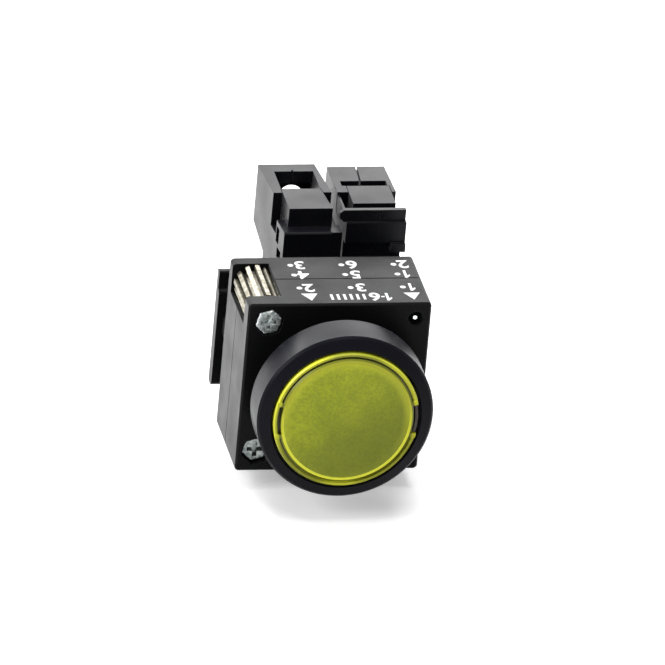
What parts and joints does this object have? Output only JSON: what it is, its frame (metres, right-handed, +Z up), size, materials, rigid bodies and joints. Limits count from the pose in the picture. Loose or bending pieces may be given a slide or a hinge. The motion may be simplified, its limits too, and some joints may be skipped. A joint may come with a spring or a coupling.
{
  "type": "illuminated pushbutton",
  "caption": "Industrial illuminated pushbutton: round yellow lens in a black bezel, square panel holder with clamp screws, and a lamp holder and a contact block behind it.",
  "frame": {"origin": "on the button's axis, at the face of the holder that meets the back of the panel", "axes": "+Y from the button through the panel to the wiring side, +Z up, +X to the right as seen from the front"},
  "size_m": [0.0305, 0.0557, 0.0375],
  "materials": {
    "yellow_lens": "translucent moulded, fine texture",
    "white_diffuser": "matt",
    "grey_plastic": "matt",
    "bezel_black": "satin moulded",
    "holder_black": "matt moulded",
    "block_black": "matt moulded",
    "gasket_rubber": "matt",
    "spring_steel": "drawn wire",
    "zinc_steel": "zinc plated",
    "silver_metal": "die cast, plated",
    "nickel": "nickel plated",
    "brass_strip": "stamped",
    "clear_glass": "clear"
  },
  "bodies": {
    "unit": {"holder_front_frame": "holder_black", "holder_rear_frame": "holder_black", "actuator_body": "bezel_black", "bezel_ring": "bezel_black", "panel_gasket": "gasket_rubber", "spring_seat": "grey_plastic", "return_spring": "spring_steel", "frame_screws": "zinc_steel", "lamp_front_housing": "block_black", "lamp_rear_housing": "block_black", "lamp_terminal_upper": "brass_strip", "lamp_terminal_lower": "brass_strip", "lamp_clamps": "zinc_steel", "lamp_screws": "zinc_steel", "lamp_socket": "brass_strip", "lamp_centre_contact": "brass_strip", "lamp_contact_spring": "spring_steel", "lamp_cap": "nickel", "lamp_insulator": "block_black", "lamp_glass": "clear_glass", "lamp_filament": "spring_steel", "contact_front_housing": "block_black", "contact_rear_housing": "block_black", "contact_cover_upper": "block_black", "contact_cover_lower": "block_black", "contact_terminal_upper": "brass_strip", "contact_terminal_lower": "brass_strip", "plunger_spring": "spring_steel", "contact_clamps": "zinc_steel", "contact_screws": "zinc_steel"},
    "pusher": {"lens_cap": "yellow_lens", "legend_disc": "white_diffuser", "button_carrier": "grey_plastic"},
    "lock": {"locking_ring": "holder_black"},
    "plunger": {"contact_plunger": "grey_plastic", "contact_spring": "spring_steel"},
    "bridge": {"contact_bridge": "brass_strip"},
    "spindle_upper": {"clamp_spindle_upper": "silver_metal"},
    "spindle_lower": {"clamp_spindle_lower": "silver_metal"},
    "foot_upper": {"clamp_foot_upper": "zinc_steel"},
    "foot_lower": {"clamp_foot_lower": "zinc_steel"}
  },
  "joints": [
    {"name": "button_press", "type": "slide", "parent": "unit", "child": "pusher", "axis": [0, 1, 0], "range_m": [0, 0.0032], "stiffness_N_per_m": 800, "springref_m": -0.004, "deforming": ["return_spring"]},
    {"name": "lock_turn", "type": "hinge", "parent": "unit", "child": "lock", "pos_m": [0, 0.0102, 0], "axis": [0, 1, 0], "range_deg": [0, 22.5]},
    {"name": "clamp_upper_turn", "type": "hinge", "parent": "unit", "child": "spindle_upper", "pos_m": [-0.0115, 0.009, 0.01175], "axis": [0, 1, 0], "range_deg": [0, 1085]},
    {"name": "clamp_lower_turn", "type": "hinge", "parent": "unit", "child": "spindle_lower", "pos_m": [-0.0118, 0.009, -0.0115], "axis": [0, 1, 0], "range_deg": [0, 1085]},
    {"name": "plunger_press", "type": "slide", "parent": "unit", "child": "plunger", "axis": [0, 1, 0], "range_m": [0, 0.0032], "deforming": ["contact_spring", "plunger_spring"]},
    {"name": "bridge_close", "type": "slide", "parent": "unit", "child": "bridge", "axis": [0, 1, 0], "range_m": [0, 0.00224]},
    {"name": "foot_upper_out", "type": "slide", "parent": "unit", "child": "foot_upper", "axis": [0, -1, 0], "range_m": [0, 0.0021]},
    {"name": "foot_lower_out", "type": "slide", "parent": "unit", "child": "foot_lower", "axis": [0, -1, 0], "range_m": [0, 0.0021]}
  ],
  "couplings": [
    {"joint": "plunger_press", "follows": "button_press", "ratio": 1},
    {"joint": "bridge_close", "follows": "button_press", "ratio": 0.7},
    {"joint": "clamp_upper_turn", "follows": "foot_upper_out", "rad_per_m": 8976},
    {"joint": "clamp_lower_turn", "follows": "foot_lower_out", "rad_per_m": 8976}
  ]
}
